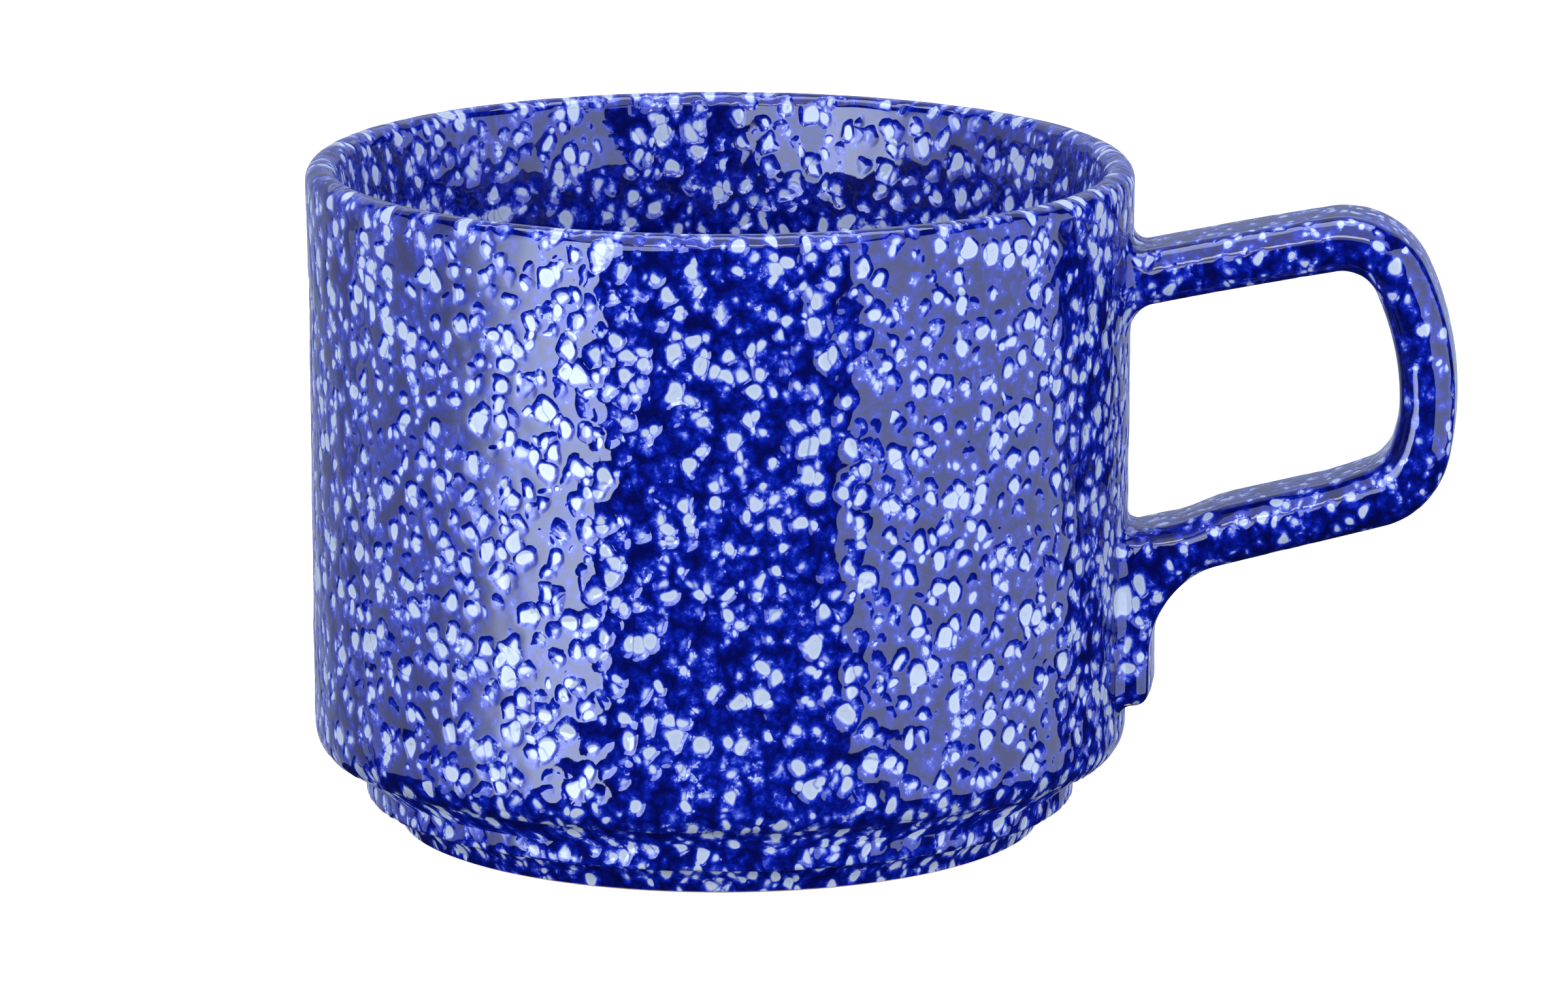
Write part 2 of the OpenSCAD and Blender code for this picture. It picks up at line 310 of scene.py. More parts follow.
# ---- meshes ----
def new_piece(name, points, faces, normals, material, replaced):
    """A smooth mesh from points in mm, riding on the mug."""
    mesh = bpy.data.meshes.new(name)
    mesh.from_pydata((points * MM).tolist(), [], faces)
    mesh.update()
    mesh.polygons.foreach_set("use_smooth", [True] * len(mesh.polygons))
    if normals is not None:
        mesh.normals_split_custom_set_from_vertices(normals.tolist())
    piece = bpy.data.objects.new(name, mesh)
    bpy.context.scene.collection.objects.link(piece)
    mesh.materials.append(material)
    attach(piece, "root")
    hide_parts(*replaced)


def grid_normals(grid):
    """Normals of a grid that closes on itself along its second axis, pointing out of the glaze."""
    along = np.gradient(grid, axis=0)
    around = np.roll(grid, -1, axis=1) - np.roll(grid, 1, axis=1)
    n = np.cross(around, along)
    length = np.linalg.norm(n, axis=2, keepdims=True)
    return n / np.maximum(length, 1e-12)


def profile_normals(profile):
    """Normals of a profile, to the right of its direction of travel."""
    d = np.gradient(profile, axis=0)
    n = np.column_stack([d[:, 1], -d[:, 0]])
    return n / np.linalg.norm(n, axis=1, keepdims=True)


# The glazed surface runs from the foot's glaze line, up the outside, over the lip and down to the floor.
# The last number of each stretch is the distance between its points.
corner_turn = math.degrees(math.asin((CORNER_Z - EDGE_Z) / CORNER_R))
EDGE_EASE = 4.0  # degrees of the corner's arc that the eased lower edge takes up
corner_line = arc(CORNER_X, CORNER_Z, CORNER_R, EDGE_EASE - corner_turn, 0, 0.35)
glaze_line_r = FOOT_R + (FOOT_TOP_R - FOOT_R) * GLAZE_LINE / RING_Z
foot_corners = [(glaze_line_r, GLAZE_LINE), (FOOT_TOP_R, RING_Z), (RING_LOW_R, RING_Z),
                (RING_R, EDGE_Z), (EDGE_R, EDGE_Z), tuple(corner_line[0])]
foot_line = rounded_line(foot_corners, [0, 0.35, 0.45, 0.5, 0.35, 0], 0.4)
taper = rounded_line([(LOW_R, CORNER_Z), (WALL_R, FLARE_Z)], [0, 0], 0.44)
flare_z = np.linspace(0, FLARE_H, 32)
flare = np.column_stack([WALL_R + (RIM_R - WALL_R) * (1 - np.cos(math.pi * flare_z / FLARE_H)) / 2,
                         FLARE_Z + flare_z])
lip_out = arc(RIM_R - LIP_R, CUP_H - LIP_R, LIP_R, 0, 90, 0.22)
lip_in = arc(RIM_R - LIP_R, CUP_H - LIP_R, LIP_R, 90, 180 - math.degrees(LIP_LEAN), 0.22)
ease_t = np.linspace(0, 1, 28)
ease_line = np.column_stack([INNER_R + INNER_EASE * (1 - ease_t) ** EASE_POWER,
                             CUP_H - LIP_R + LIP_R * math.sin(LIP_LEAN) - EASE_H * ease_t])
upright = rounded_line([tuple(ease_line[-1]), (INNER_R, FLOOR_Z + INNER_CORNER_R)], [0, 0], 0.5)
inside = joined(ease_line, upright)
bowl = arc(INNER_R - INNER_CORNER_R, FLOOR_Z + INNER_CORNER_R, INNER_CORNER_R, 0, -90, 0.55)
floor_line = rounded_line([(INNER_R - INNER_CORNER_R, FLOOR_Z), (0.05, FLOOR_Z)], [0, 0], 0.75)

# ---- the handle: a distance field meshed on a grid, then moved onto the exact surface ----
ARM_Z, ARM_SLOPE, ARM_LEN, ARM_BOW = 61.7, 12.5, 22.5, 2.2
BEND_R, BEND_TURN = 6.9, 75.0
BACK_R, BACK_TURN = 30.9, 36.0
LOW_BEND_R, LOW_SLOPE = 6.5, 14.0
LOW_TURN = 180 + ARM_SLOPE - ARM_BOW - BEND_TURN - BACK_TURN - LOW_SLOPE
STRAP_W, STRAP_T = 12.7, 6.4
# The strap is LEAN thinner on the loop's side, HOLLOW thinner at its edges and WAIST narrower at its faces.
LEAN, HOLLOW, WAIST = 0.2, 0.2, 0.25
# Near the wall the lower arm's top dips by ROOT_DIP over DIP_REACH, and its underside drops by ROOT_DROP.
ROOT_DIP, ROOT_DROP, DIP_REACH, DIP_POWER = 2.3, 0.65, 10.5, 1.3
# The lower bend is filled out by BEND_FILL inside, from FILL_REACH before it to as far after it.
BEND_FILL, FILL_REACH = 0.7, 6.0
TAIL_Z, TAIL_R, TAIL_HALF, TAIL_ROUND = 14.6, LOW_R + 3.1, 6.7, 1.8
# The tail's block goes into the wall to radius TAIL_IN, and up into the lower arm to TAIL_TOP.
TAIL_IN, TAIL_TOP = 38.0, 31.0
# The crook between tail and lower arm: its radius, how far out and up it can reach, and the heights between
# which the strap's section changes to the tail's.
CROOK_R, CROOK_X, CROOK_Z = 7.2, 60.0, 45.0
CROOK_LO, CROOK_HI = 22.0, 30.0
# Corner radii of the two sections, and the largest share of the half thickness that a corner may take up.
SECTION_R, TAIL_SECTION_R, MOST_ROUND = 2.7, 1.8, 0.9
EDGE_Y = 6.0
ROOT_IN = 2.4
# Radii of the fillets where the handle meets the wall, at a few heights from the tail's end up.
FILLET_Z = [12, 20, 30, 38, 50, 57, 62, 66]
FILLET_R = [1.4, 1.6, 1.7, 1.6, 3.0, 3.2, 2.2, 2.0]


def path_parts():
    """The strap's centre line in the XZ plane as lines and arcs, each with its start's distance along."""
    parts, at, heading, along = [], np.array([WALL_R, ARM_Z]), math.radians(ARM_SLOPE), 0.0
    back = ROOT_IN * np.array([math.cos(heading), math.sin(heading)])
    parts.append(("line", at - back, at, -ROOT_IN, ROOT_IN))
    turns = [(ARM_LEN / math.radians(ARM_BOW), ARM_BOW), (BEND_R, BEND_TURN),
             (BACK_R, BACK_TURN), (LOW_BEND_R, LOW_TURN)]
    for r, turn in turns:
        turn = math.radians(turn)
        centre = at + r * np.array([math.sin(heading), -math.cos(heading)])
        start = heading + math.pi / 2
        parts.append(("arc", centre, (r, start, turn), along, r * turn))
        heading -= turn
        at = centre + r * np.array([-math.sin(heading), math.cos(heading)])
        along += r * turn
    length = (at[0] - WALL_R + ROOT_IN) / math.cos(math.radians(LOW_SLOPE))
    end = at + length * np.array([math.cos(heading), math.sin(heading)])
    parts.append(("line", at, end, along, length))
    return parts


PATH = path_parts()
PATH_END = PATH[-1][3] + PATH[-1][4]
LOW_BEND_FROM, LOW_ARM_FROM = PATH[-2][3], PATH[-1][3]
# The underside starts to drop a quarter of the way round the lower bend.
DROP_FROM = LOW_BEND_FROM + PATH[-2][4] / 4


def path_distance(x, z):
    """Distance to the strap's centre line, positive inside the loop, and how far along the line that is."""
    best, where = np.full(x.shape, 1e9), np.zeros(x.shape)
    side = np.ones(x.shape)
    for kind, a, b, along, length in PATH:
        if kind == "line":
            d = (b - a) / np.linalg.norm(b - a)
            s = np.clip((x - a[0]) * d[0] + (z - a[1]) * d[1], 0, length)
            dist = np.hypot(x - a[0] - s * d[0], z - a[1] - s * d[1])
            inward = (x - a[0]) * d[1] - (z - a[1]) * d[0]
        else:
            r, start, turn = b
            middle = start - turn / 2
            angle = np.arctan2(z - a[1], x - a[0])
            off = (angle - middle + math.pi) % (2 * math.pi) - math.pi
            off = np.clip(off, -turn / 2, turn / 2)
            s = (turn / 2 - off) * r
            dist = np.hypot(x - a[0] - r * np.cos(middle + off), z - a[1] - r * np.sin(middle + off))
            inward = r - np.hypot(x - a[0], z - a[1])
        near = dist < best
        best, where = np.where(near, dist, best), np.where(near, s + along, where)
        side = np.where(near, np.sign(inward), side)
    return best * side, where


def ease(x, lo, hi):
    """A smooth step from 0 at lo to 1 at hi."""
    t = np.clip((x - lo) / (hi - lo), 0, 1)
    return t * t * (3 - 2 * t)


def box_distance(a, b):
    """Distance outside a rectangle, from the distances outside its two pairs of sides."""
    return np.hypot(np.maximum(a, 0), np.maximum(b, 0)) + np.minimum(np.maximum(a, b), 0)


def round_union(a, b, r):
    """Distance outside two shapes joined with a fillet of radius r."""
    return np.maximum(r, np.minimum(a, b)) - np.hypot(np.maximum(r - a, 0), np.maximum(r - b, 0))


def wall_distance(p):
    """Distance outside the cup's glazed outer wall."""
    r, z = np.hypot(p[:, 0], p[:, 1]), p[:, 2]
    low = LOW_R + (WALL_R - LOW_R) * (z - CORNER_Z) / (FLARE_Z - CORNER_Z)
    up = WALL_R + (RIM_R - WALL_R) * (1 - np.cos(math.pi * np.clip((z - FLARE_Z) / FLARE_H, 0, 1))) / 2
    wall = r - np.where(z > FLARE_Z, up, low)
    corner = np.hypot(r - CORNER_X, z - CORNER_Z) - CORNER_R
    return np.where(z < CORNER_Z, corner, wall)


def handle_distance(p):
    """Distance outside the strap and its tail, without the fillets to the wall."""
    x, y, z = p[:, 0], np.abs(p[:, 1]), p[:, 2]
    inward, along = path_distance(x, z)
    # Half thickness towards the loop's inside and outside.
    filled = (along - LOW_BEND_FROM + FILL_REACH) / (LOW_ARM_FROM - LOW_BEND_FROM + 2 * FILL_REACH)
    fill = BEND_FILL * np.sin(math.pi * np.clip(filled, 0, 1)) ** 2
    dip = np.where(along > LOW_ARM_FROM, np.clip(1 - (x - WALL_R) / DIP_REACH, 0, 1) ** DIP_POWER, 0)
    inner = STRAP_T / 2 - LEAN + fill - ROOT_DIP * dip
    outer = STRAP_T / 2 + ROOT_DROP * np.clip((along - DROP_FROM) / (PATH_END - DROP_FROM), 0, 1)
    far, half_t = np.abs(inward - (inner - outer) / 2), (inner + outer) / 2
    strap = far - half_t
    # The tail runs down the wall below the lower arm, and the crook joins the two.
    across = np.abs(x - (TAIL_IN + TAIL_R) / 2) - (TAIL_R - TAIL_IN) / 2
    upward = np.abs(z - (TAIL_Z + TAIL_TOP) / 2) - (TAIL_TOP - TAIL_Z) / 2
    tail = box_distance(across + TAIL_ROUND, upward + TAIL_ROUND) - TAIL_ROUND
    low = 1 - ease(z, CROOK_LO, CROOK_HI)
    flat = np.where((x < CROOK_X) & (z < CROOK_Z), round_union(strap, tail, CROOK_R), strap)
    flat = flat + HOLLOW * np.minimum(y / EDGE_Y, 1) ** 2
    waist = WAIST * np.clip(far / half_t, 0, 1) ** 2 * (1 - low)
    width = STRAP_W / 2 + (TAIL_HALF - STRAP_W / 2) * low - waist
    edge = np.minimum(SECTION_R + (TAIL_SECTION_R - SECTION_R) * low, MOST_ROUND * half_t)
    return box_distance(flat + edge, y - width + edge) - edge


def fillet_radius(z):
    """Radius of the fillet between the handle and the wall at height z."""
    return np.interp(z, FILLET_Z, FILLET_R)


def glazed_handle(p):
    """Distance outside the glazed handle and wall, with fillets where they meet."""
    return round_union(handle_distance(p), wall_distance(p), fillet_radius(p[:, 2]))


def surface_nets(field, lo, hi, step):
    """A quad mesh of field = 0 in a box, with one point in each grid cell that the surface crosses."""
    axes = [np.arange(a, b + step, step) for a, b in zip(lo, hi)]
    shape = tuple(len(a) for a in axes)
    value = np.empty(shape)
    yy, zz = (m.ravel() for m in np.meshgrid(axes[1], axes[2], indexing="ij"))
    for i, x in enumerate(axes[0]):
        value[i] = field(np.column_stack([np.full(yy.shape, x), yy, zz])).reshape(shape[1:])
    inside = value < 0
    cells = tuple(s - 1 for s in shape)
    count, total = np.zeros(cells), np.zeros(cells + (3,))
    corner = [(a, b, c) for a in (0, 1) for b in (0, 1) for c in (0, 1)]

    def part(arr, off):
        """The values at one corner of every cell."""
        return arr[tuple(slice(o, o + n) for o, n in zip(off, cells))]

    for u in corner:
        for ax in range(3):
            if u[ax]:
                continue
            v = tuple(1 if i == ax else u[i] for i in range(3))
            fu, fv = part(value, u), part(value, v)
            cross = part(inside, u) != part(inside, v)
            t = np.where(cross, fu / np.where(cross, fu - fv, 1), 0)
            point = np.zeros(cells + (3,)) + np.array(u, float)
            point[..., ax] += t
            total += point * cross[..., None]
            count += cross
    active = count > 0
    index = np.full(cells, -1)
    index[active] = np.arange(active.sum())
    at = np.argwhere(active) + total[active] / count[active][:, None]
    points = at * step + np.array([a[0] for a in axes])
    faces = []
    for ax in range(3):
        b, c = (ax + 1) % 3, (ax + 2) % 3
        sl = [slice(1, -1)] * 3
        sl[ax] = slice(0, -1)
        here = inside[tuple(sl)]
        sl[ax] = slice(1, None)
        there = inside[tuple(sl)]
        for sign in (True, False):
            hit = np.argwhere((here != there) & (here == sign))
            hit[:, b] += 1
            hit[:, c] += 1
            quad = []
            for db, dc in ((1, 1), (0, 1), (0, 0), (1, 0)):
                cell = hit.copy()
                cell[:, b] -= db
                cell[:, c] -= dc
                quad.append(index[cell[:, 0], cell[:, 1], cell[:, 2]])
            faces.append(np.stack(quad if sign else quad[::-1], axis=1))
    return points, np.vstack(faces)


def gradient(field, p, h=0.01):
    """Gradient of a field at many points."""
    g = np.empty_like(p)
    for i in range(3):
        d = np.zeros(3)
        d[i] = h
        g[:, i] = (field(p + d) - field(p - d)) / (2 * h)
    return g


def onto(field, p, rounds=4):
    """Points moved onto field = 0, and the surface's normals there."""
    for _ in range(rounds):
        g = gradient(field, p)
        p = p - g * (field(p) / np.maximum((g * g).sum(axis=1), 1e-6))[:, None]
    g = gradient(field, p)
    return p, g / np.linalg.norm(g, axis=1, keepdims=True)


def kept(faces, keep):
    """The points that the faces with only kept points use, and those faces in the new numbering."""
    faces = faces[keep[faces].all(axis=1)]
    used = np.unique(faces)
    renumber = np.full(len(keep), -1)
    renumber[used] = np.arange(len(used))
    return used, renumber[faces]


# ---- materials ----
def blank_material(name):
    """A new material with only a shader and an output."""
    mat = bpy.data.materials.new(name)
    mat.use_nodes = True
    mat.node_tree.nodes.clear()
    k = Nodes(mat.node_tree)
    shader = k.add("ShaderNodeBsdfPrincipled")
    out = k.add("ShaderNodeOutputMaterial")
    mat.node_tree.links.new(shader.outputs[0], out.inputs["Surface"])
    return mat, k, shader


def colour_ramp(k, value, stops, interpolation="LINEAR"):
    """Colours along a value from 0 to 1, from a list of (place, colour)."""
    node = k.add("ShaderNodeValToRGB")
    ramp = node.color_ramp
    ramp.interpolation = interpolation
    while len(ramp.elements) < len(stops):
        ramp.elements.new(0.5)
    for element, (at, colour) in zip(ramp.elements, stops):
        element.position = at
        element.color = (*colour, 1)
    k.put(node.inputs[0], value)
    return node.outputs["Color"]


def mix_colour(k, amount, a, b):
    """Colour a, turning into colour b as amount goes from 0 to 1."""
    node = k.add("ShaderNodeMix", data_type="RGBA")
    k.put(node.inputs["Factor"], amount)
    for key, v in (("A", a), ("B", b)):
        socket = next(s for s in node.inputs if s.name == key and s.type == "RGBA")
        k.put(socket, v)
    return next(s for s in node.outputs if s.type == "RGBA")


def add_bump(k, shader, height):
    """Surface relief from a height in mm."""
    bump = k.add("ShaderNodeBump")
    bump.inputs["Strength"].default_value = 1.0
    bump.inputs["Distance"].default_value = MM
    k.put(bump.inputs["Height"], height)
    k.put(shader.inputs["Normal"], bump.outputs[0])


# Distances inside a dot, in mm, run from DOT_LO to DOT_HI over the colour ramp. The glaze is almost black far
# from the dots, cobalt near them, and pale inside them.
DOT_LO, DOT_HI = -1.3, 0.7
DOT_COLOURS = [
    (-0.90, (0.0012, 0.0028, 0.085)),
    (-0.56, (0.0014, 0.0055, 0.190)),
    (-0.30, (0.0025, 0.0130, 0.370)),
    (-0.16, (0.0110, 0.0300, 0.520)),
    (-0.05, (0.080, 0.120, 0.680)),
    (0.03, (0.42, 0.52, 0.82)),
    (0.10, (0.55, 0.64, 0.84)),
    (0.26, (0.48, 0.58, 0.77)),
]
VEIN_BLUE = (0.10, 0.17, 0.58, 1)
HEART_GREEN = (0.34, 0.45, 0.47, 1)
GLAZE_ROUGHNESS, GLAZE_IOR = 0.04, 1.52
# Depth of the pits at small dots and of the hollows at large ones, and height of the peel, in mm.
SMALL_PIT, LARGE_PIT, PEEL = 0.030, 0.112, 0.15


def glaze_material(name):
    """Cobalt glaze with pale dots."""
    mat, k, shader = blank_material(name)
    metres = k.add("ShaderNodeTexCoord").outputs["Object"]
    co, thin, one, two, big, small = dot_fields(k, metres)
    large = most(k, one, two, big)
    inside_dot = k.math("MAXIMUM", large, small)
    # Round each dot the blue is broken into clouds.
    cloud = k.noise(co, 1.5, 3.0, 0.65).outputs[0]
    drift = k.noise(co, 0.22, 2.0, 0.5).outputs[0]
    outward = k.ramp(inside_dot, -0.25, 0.02, 1.0, 0.0)
    shift = k.math("MULTIPLY_ADD", cloud, 1.5, -0.78)
    shift = k.math("ADD", shift, k.math("MULTIPLY_ADD", drift, 0.8, -0.4))
    edge = k.math("ADD", inside_dot, k.math("MULTIPLY", shift, outward))
    stops = [((depth - DOT_LO) / (DOT_HI - DOT_LO), colour) for depth, colour in DOT_COLOURS]
    base = colour_ramp(k, k.ramp(edge, DOT_LO, DOT_HI, smooth=False), stops)
    # Thin blue lines part the bubbles that have run together, and the largest have a grey-green heart.
    meet = k.math("ABSOLUTE", k.math("SUBTRACT", k.math("MAXIMUM", two, big), one))
    meet = k.math("MULTIPLY", k.ramp(meet, 0.05, 0.16, 1.0, 0.0), k.ramp(one, -0.02, 0.08))
    vein = k.noise(k.vmath("ADD", co, (7.7, 3.1, 9.9)), 0.9, 1.0).outputs[0]
    vein = k.ramp(k.math("ABSOLUTE", k.math("SUBTRACT", vein, 0.5)), 0.004, 0.022, 1.0, 0.0)
    vein = k.math("MULTIPLY", vein, k.ramp(large, 0.35, 0.6))
    vein = k.math("MAXIMUM", k.math("MULTIPLY", vein, 0.45), k.math("MULTIPLY", meet, 0.65))
    base = mix_colour(k, vein, base, VEIN_BLUE)
    core = k.ramp(k.math("ADD", big, k.math("MULTIPLY", cloud, 0.3)), 0.85, 1.35)
    base = mix_colour(k, core, base, HEART_GREEN)
    k.put(shader.inputs["Base Color"], base)
    shader.inputs["Roughness"].default_value = GLAZE_ROUGHNESS
    shader.inputs["IOR"].default_value = GLAZE_IOR
    # The dots are pits with steep sides and flat floors, and the glaze between them swells into soft ridges.
    pits = k.math("MULTIPLY", k.ramp(small, -0.24, 0.05), -SMALL_PIT)
    rims = k.math("MULTIPLY", k.ramp(large, -0.50, 0.04), -LARGE_PIT)
    peel = k.math("MULTIPLY", k.noise(co, 0.33, 0.0).outputs[0], PEEL)
    relief = k.math("ADD", k.math("ADD", pits, rims), peel)
    add_bump(k, shader, k.math("MULTIPLY", relief, k.math("MULTIPLY_ADD", thin, -THIN_SMOOTH, 1.0)))
    return mat


CLAY_ROUGHNESS, CLAY_GRAIN = 0.82, 0.05
SPECK_BROWN = (0.20, 0.13, 0.09, 1)


def clay_material(name, colour):
    """Matt fired clay with a fine grain and a few dark specks."""
    mat, k, shader = blank_material(name)
    metres = k.add("ShaderNodeTexCoord").outputs["Object"]
    co = k.vmath("SCALE", metres, scale=1 / MM)
    grain = k.noise(co, 2.5, 4.0, 0.65).outputs[0]
    far, rand = k.cells(co, 0.9)
    speck = k.math("MULTIPLY", k.math("LESS_THAN", far, 0.12), k.math("GREATER_THAN", rand[0], 0.75))
    base = colour_ramp(k, grain, [(0.3, tuple(c * 0.82 for c in colour)), (0.7, colour)])
    base = mix_colour(k, speck, base, SPECK_BROWN)
    k.put(shader.inputs["Base Color"], base)
    shader.inputs["Roughness"].default_value = CLAY_ROUGHNESS
    add_bump(k, shader, k.math("MULTIPLY", grain, CLAY_GRAIN))
    return mat


glaze = glaze_material("speckled_cobalt_glaze")
clay = clay_material("fired_clay", (0.62, 0.49, 0.36))
slip = clay_material("fired_slip", (0.56, 0.45, 0.34))
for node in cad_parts.values():
    node.data.materials.clear()
    node.data.materials.append(glaze if "glaze" in node.name else slip if "slip" in node.name else clay)
    for polygon in node.data.polygons:
        polygon.material_index = 0

# ---- the cup's glaze ----
def swept(flat):
    """A list of (radial, upward) vectors swept round the axis, as vectors in space."""
    t = np.linspace(0, 2 * math.pi, TURN_STEPS, endpoint=False)
    return np.stack([flat[:, :1] * np.cos(t), flat[:, :1] * np.sin(t), flat[:, 1:] + 0 * t], axis=2)


def glazed_grid(line, fade):
    """The glazed surface swept from a profile, with relief, its normals, and the plain profile behind it."""
    flat = profile_normals(line)
    plain, out = swept(line), swept(flat)
    height = relief_at(plain.reshape(-1, 3)).reshape(plain.shape[:2]) * fade[:, None]
    moved = plain + out * height[..., None]
    return moved, grid_normals(moved), line - flat * GLAZE_T, flat


BACK_EVERY = 14  # the plain back of a shell has one row of points for so many of the glazed face's


def shell(name, surface, first, last, replaced, cap=None):
    """A closed shell from rows first to last of a grid: the glazed face in front, a plain one behind."""
    moved, smooth, back_line, flat = surface
    n = TURN_STEPS
    rows = last - first + 1
    picks = np.unique(np.linspace(first, last, max(3, rows // BACK_EVERY)).astype(int))[::-1]
    points = np.vstack([moved[first:last + 1].reshape(-1, 3), swept(back_line[picks]).reshape(-1, 3)])
    out = np.vstack([smooth[first:last + 1].reshape(-1, 3), -swept(flat[picks]).reshape(-1, 3)])
    total = rows + len(picks)
    i, j = np.meshgrid(np.arange(total), np.arange(n), indexing="ij")
    nxt_i, nxt_j = (i + 1) % total, (j + 1) % n
    faces = np.stack([i * n + j, i * n + nxt_j, nxt_i * n + nxt_j, nxt_i * n + j], axis=2)
    ends = []
    if cap:
        # At the cup's axis the front and back are closed separately instead of being joined.
        at = rows - 1 if cap == "last" else total - 1
        faces = np.delete(faces, at, axis=0)
        ends = [[at * n + q for q in range(n)], [(at + 1) % total * n + q for q in range(n)][::-1]]
    faces = faces.reshape(-1, 4).tolist() + ends
    new_piece(name, points, faces, out, glaze, replaced)


outside = joined(foot_line, corner_line, taper, flare, lip_out)
profile = joined(outside, lip_in, inside, bowl, floor_line)
travel = np.concatenate([[0], np.cumsum(np.linalg.norm(np.diff(profile, axis=0), axis=1))])
# The relief fades out at the glaze line and at the axis, and is weaker near the lip.
lip_smooth = 1 - 0.65 * ease(profile[:, 1], CUP_H - 9, CUP_H - 3)
cup = glazed_grid(profile, ease(travel, 0.0, 0.9) * ease(profile[:, 0], 0.5, 3.0) * lip_smooth)
row_corner = len(foot_line) - 1
row_lip = len(outside) - 1
row_bowl = row_lip + len(lip_in) - 1 + len(inside) - 1
shell("foot_glaze", cup, 0, row_corner, ["outer_glaze"])
shell("wall_glaze", cup, row_corner, row_lip, ["outer_glaze"])
shell("liner_wall_glaze", cup, row_lip, row_bowl, ["liner_glaze"])
shell("liner_floor_glaze", cup, row_bowl, len(profile) - 1, ["liner_glaze"], cap="last")

recess = rounded_line([(0.05, RECESS_Z), (FOOT_IN_R, RECESS_Z), (FOOT_IN_R, GLAZE_LINE)], [0, 0.6, 0], 0.55)
recess_fade = ease(recess[:, 0], 0.5, 3.0) * (1 - ease(recess[:, 0], FOOT_IN_R - 0.8, FOOT_IN_R))
under = glazed_grid(recess, recess_fade)
shell("recess_glaze", under, 0, len(recess) - 1, ["base_glaze"], cap="first")

# ---- the handle's glaze ----
# The skin laps LAP past the fillets, over the cup's glaze, and sinks from LAP_UP above to LAP_DOWN below it.
LAP, LAP_UP, LAP_DOWN = 1.6, 0.012, 0.06
handle_lo, handle_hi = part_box("handle_glaze")
reach_lo = (handle_lo.x / MM - 0.9, -11.0, handle_lo.z / MM - 2.4)
reach_hi = (handle_hi.x / MM + 0.7, 11.0, handle_hi.z / MM + 0.8)
points, faces = surface_nets(glazed_handle, reach_lo, reach_hi, 0.3)
points, out = onto(glazed_handle, points)
past = handle_distance(points) - fillet_radius(points[:, 2])
used, faces = kept(faces, past < LAP)
points, out, past = points[used], out[used], past[used]
lap = LAP_UP - (LAP_UP + LAP_DOWN) * ease(past, 0.1, LAP)
lap = lap * ease(past, -1.0, 0.0)
points = points + out * (relief_at(points) + lap)[:, None]
new_piece("handle_glaze_skin", points, faces.tolist(), None, glaze, ["handle_glaze"])


# ---- the slip under the glaze at the handle's two roots ----
SLIP_REACH = 1.3  # how far a bead spreads from the handle, in mm


def slip_distance(p):
    """Distance outside a slip bead, which fills the fillet under the glaze, between handle and wall."""
    d, w = handle_distance(p) + GLAZE_T, wall_distance(p) + GLAZE_T
    bead = glazed_handle(p) + GLAZE_T
    return np.maximum(np.maximum(bead, -d), np.maximum(-w, d - SLIP_REACH))


for name, lo, hi, replaced in (
        ("upper_slip_bead", (43.0, -9.6, 54.0), (50.0, 9.6, 70.0), "upper_joint_slip"),
        ("lower_slip_bead", (43.0, -9.6, 11.0), (50.0, 9.6, 40.0), "lower_joint_slip")):
    points, faces = surface_nets(slip_distance, lo, hi, 0.35)
    new_piece(name, points, faces.tolist(), None, slip, [replaced])


# ---- the studio, in metres ----
HANDLE_TURN = math.radians(6.0)  # the handle points this far towards the camera
CAM_DISTANCE, CAM_ELEVATION, CAM_PITCH = 1.1538, math.radians(13.85), math.radians(12.07)
CAM_FOV, CAM_SHIFT = math.radians(8.603), 0.0408

scene = bpy.context.scene
scene.view_settings.view_transform = "Standard"

cam = bpy.data.cameras.new("camera")
camera = bpy.data.objects.new("camera", cam)
scene.collection.objects.link(camera)
scene.camera = camera
cam.sensor_fit = "HORIZONTAL"
cam.angle = CAM_FOV
cam.shift_x = CAM_SHIFT
cam.clip_start, cam.clip_end = 0.01, 20
toward = Vector((math.sin(HANDLE_TURN), -math.cos(HANDLE_TURN), 0))
camera.location = toward * CAM_DISTANCE * math.cos(CAM_ELEVATION)
camera.location.z = CAM_DISTANCE * math.sin(CAM_ELEVATION)
look = -toward * math.cos(CAM_PITCH) - Vector((0, 0, math.sin(CAM_PITCH)))
camera.rotation_euler = look.to_track_quat("-Z", "Y").to_euler()

CAM_AZIMUTH = math.degrees(math.atan2(toward.y, toward.x))


def area_light(name, width, height, strength, colour, soft):
    """A rectangular light of a given radiance. A soft one only lights, and the others only show reflected."""
    light = bpy.data.lights.new(name, "AREA")
    light.shape = "RECTANGLE"
    light.size, light.size_y = width, height
    light.energy = strength * light.size * light.size_y * math.pi
    light.color = colour
    lamp = bpy.data.objects.new(name, light)
    scene.collection.objects.link(lamp)
    lamp.visible_camera = False
    lamp.visible_glossy = not soft
    lamp.visible_diffuse = soft
    return lamp


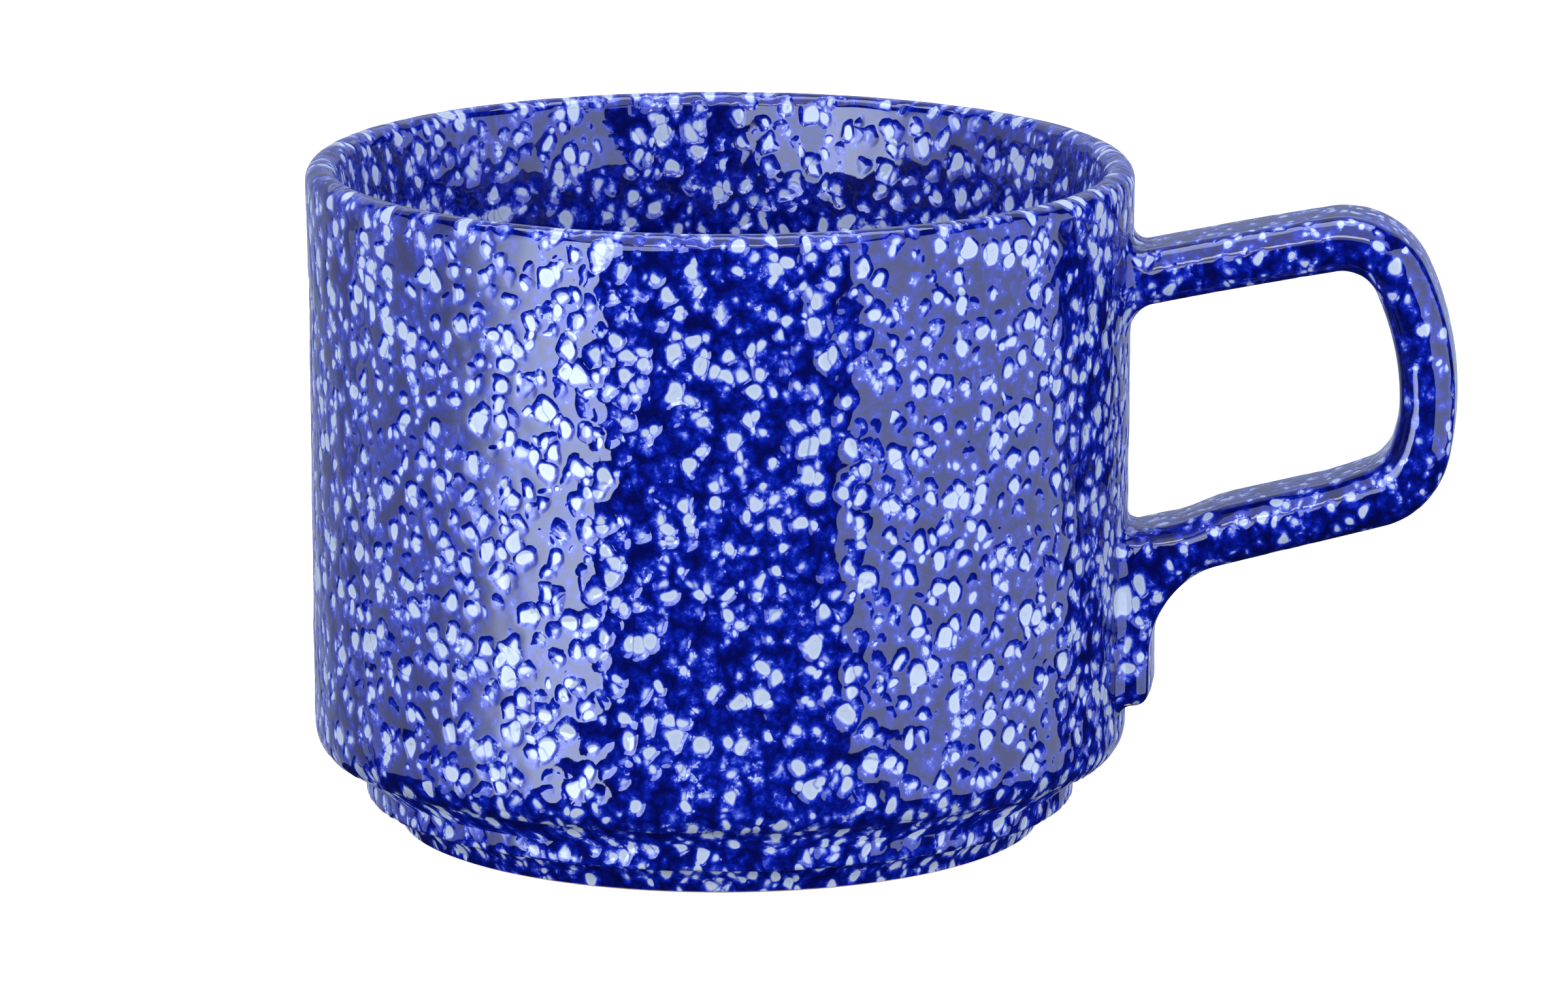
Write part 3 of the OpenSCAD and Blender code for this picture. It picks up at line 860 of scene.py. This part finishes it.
def panel(name, start, end, low, high, distance, strength, colour=(1, 1, 1), soft=False):
    """A flat panel standing round the mug between two azimuths, counted from the camera, in degrees.

    Strength is radiance, or a list of (azimuth, radiance) that it passes through from start to end.
    """
    middle, half = math.radians(CAM_AZIMUTH + (start + end) / 2), math.radians(abs(end - start) / 2)
    width = 2 * distance * math.tan(half)
    fading = isinstance(strength, list)
    lamp = area_light(name, width, high - low, 1.0 if fading else strength, colour, soft)
    if fading:
        lamp.data.use_nodes = True
        tree = lamp.data.node_tree
        k = Nodes(tree)
        across = k.add("ShaderNodeSeparateXYZ")
        tree.links.new(k.add("ShaderNodeNewGeometry").outputs["Parametric"], across.inputs[0])
        top = max(value for _, value in strength)
        stops = []
        for azimuth, value in strength:
            turn = math.radians(azimuth - (start + end) / 2)
            stops.append(((math.tan(turn) / math.tan(half) + 1) / 2, (value / top,) * 3))
        lit = colour_ramp(k, across.outputs[0], sorted(stops), "B_SPLINE")
        glow = next(node for node in tree.nodes if node.type == "EMISSION")
        tree.links.new(lit, glow.inputs["Color"])
        glow.inputs["Strength"].default_value = top
    lamp.location = (math.cos(middle) * distance, math.sin(middle) * distance, (low + high) / 2)
    facing = Vector((-math.cos(middle), -math.sin(middle), 0))
    lamp.rotation_euler = facing.to_track_quat("-Z", "Y").to_euler()


COOL = (0.79, 0.91, 1.28)
panel("left_softbox", -33, -117, -0.16, 0.5, 0.55,
      [(-33, 9.5), (-51, 9.0), (-61, 4.6), (-71, 2.3), (-82, 1.3), (-100, 1.1), (-117, 1.1)], COOL)
panel("left_high", -10, -33, 0.085, 0.35, 0.56, 6.0, COOL)
panel("right_softbox", 36, 112, -0.16, 0.5, 0.55, [(36, 3.3), (60, 2.9), (85, 2.2), (112, 1.8)], COOL)
panel("backdrop_left", -117, -180, -0.3, 0.6, 0.7, 0.5, COOL)
panel("backdrop_right", 142, 180, -0.3, 0.6, 0.7, 0.5, COOL)
panel("left_light", -30, -115, -0.02, 0.32, 0.6, 2.5, soft=True)
panel("right_light", 30, 115, -0.02, 0.32, 0.6, 2.5, soft=True)
panel("back_light", 122, 238, -0.02, 0.32, 0.6, 2.6, soft=True)

CEILING_AIM = 0.06  # the height that these panels point at


def ceiling(name, start, end, width, distance, strength, colour=(1, 1, 1), soft=False):
    """A flat panel between two elevations, counted from the camera's side over the top, in degrees."""
    middle, half = math.radians((start + end) / 2), math.radians((end - start) / 2)
    lamp = area_light(name, width, 2 * distance * math.tan(half), strength, colour, soft)
    out = toward * math.cos(middle) + Vector((0, 0, math.sin(middle)))
    lamp.location = Vector((0, 0, CEILING_AIM)) + out * distance
    side = Vector((-toward.y, toward.x, 0))
    lamp.rotation_euler = Matrix((side, out.cross(side), out)).transposed().to_euler()


ceiling("top_light", 60, 130, 0.9, 0.7, 1.6, soft=True)
ceiling("cup_light", 6, 32, 1.2, 0.8, 3.1, soft=True)
ceiling("low_light", -32, -2, 1.2, 0.8, 1.0, soft=True)
ceiling("top_low", 26, 39, 0.9, 0.74, 2.0, COOL)
ceiling("front_strip", 39, 45, 0.5, 0.74, 11.0)
ceiling("top_front", 45, 92, 0.9, 0.7, 2.0, COOL)
ceiling("top_strip", 92, 116, 0.7, 0.66, 6.0, COOL)
ceiling("top_back", 120, 160, 1.2, 0.7, 0.7, COOL)

# The table is a plain white sheet that glows a little, so it stays white to its far edge. It shows to the
# camera but lights nothing: the mug's light and its reflections come from the panels alone.
mat, k, shader = blank_material("white_sweep")
co = k.add("ShaderNodeTexCoord").outputs["Object"]
tone = k.noise(co, 9.0, 2.0).outputs[0]
paper = colour_ramp(k, tone, [(0.0, (0.52, 0.52, 0.525)), (1.0, (0.56, 0.56, 0.565))])
k.put(shader.inputs["Base Color"], paper)
shader.inputs["Roughness"].default_value = 0.6
shader.inputs["Emission Color"].default_value = (1, 1, 1, 1)
shader.inputs["Emission Strength"].default_value = 0.85
TABLE = 3.0  # half its side
corners = [(-TABLE, -TABLE, 0), (TABLE, -TABLE, 0), (TABLE, TABLE, 0), (-TABLE, TABLE, 0)]
mesh = bpy.data.meshes.new("table")
mesh.from_pydata(corners, [], [(0, 1, 2, 3)])
mesh.materials.append(mat)
table = bpy.data.objects.new("table", mesh)
scene.collection.objects.link(table)
table.visible_glossy = table.visible_diffuse = table.visible_shadow = False

world = bpy.data.worlds.new("studio")
scene.world = world
world.use_nodes = True
k = Nodes(world.node_tree)
world.node_tree.nodes.clear()
bright, dim = k.add("ShaderNodeBackground"), k.add("ShaderNodeBackground")
bright.inputs[0].default_value, bright.inputs[1].default_value = (1, 1, 1, 1), 1.0
dim.inputs[0].default_value, dim.inputs[1].default_value = (0.6, 0.65, 1.0, 1), 0.02
mix = k.add("ShaderNodeMixShader")
out = k.add("ShaderNodeOutputWorld")
k.put(mix.inputs[0], k.add("ShaderNodeLightPath").outputs["Is Camera Ray"])
k.put(mix.inputs[1], dim.outputs[0])
k.put(mix.inputs[2], bright.outputs[0])
k.put(out.inputs[0], mix.outputs[0])
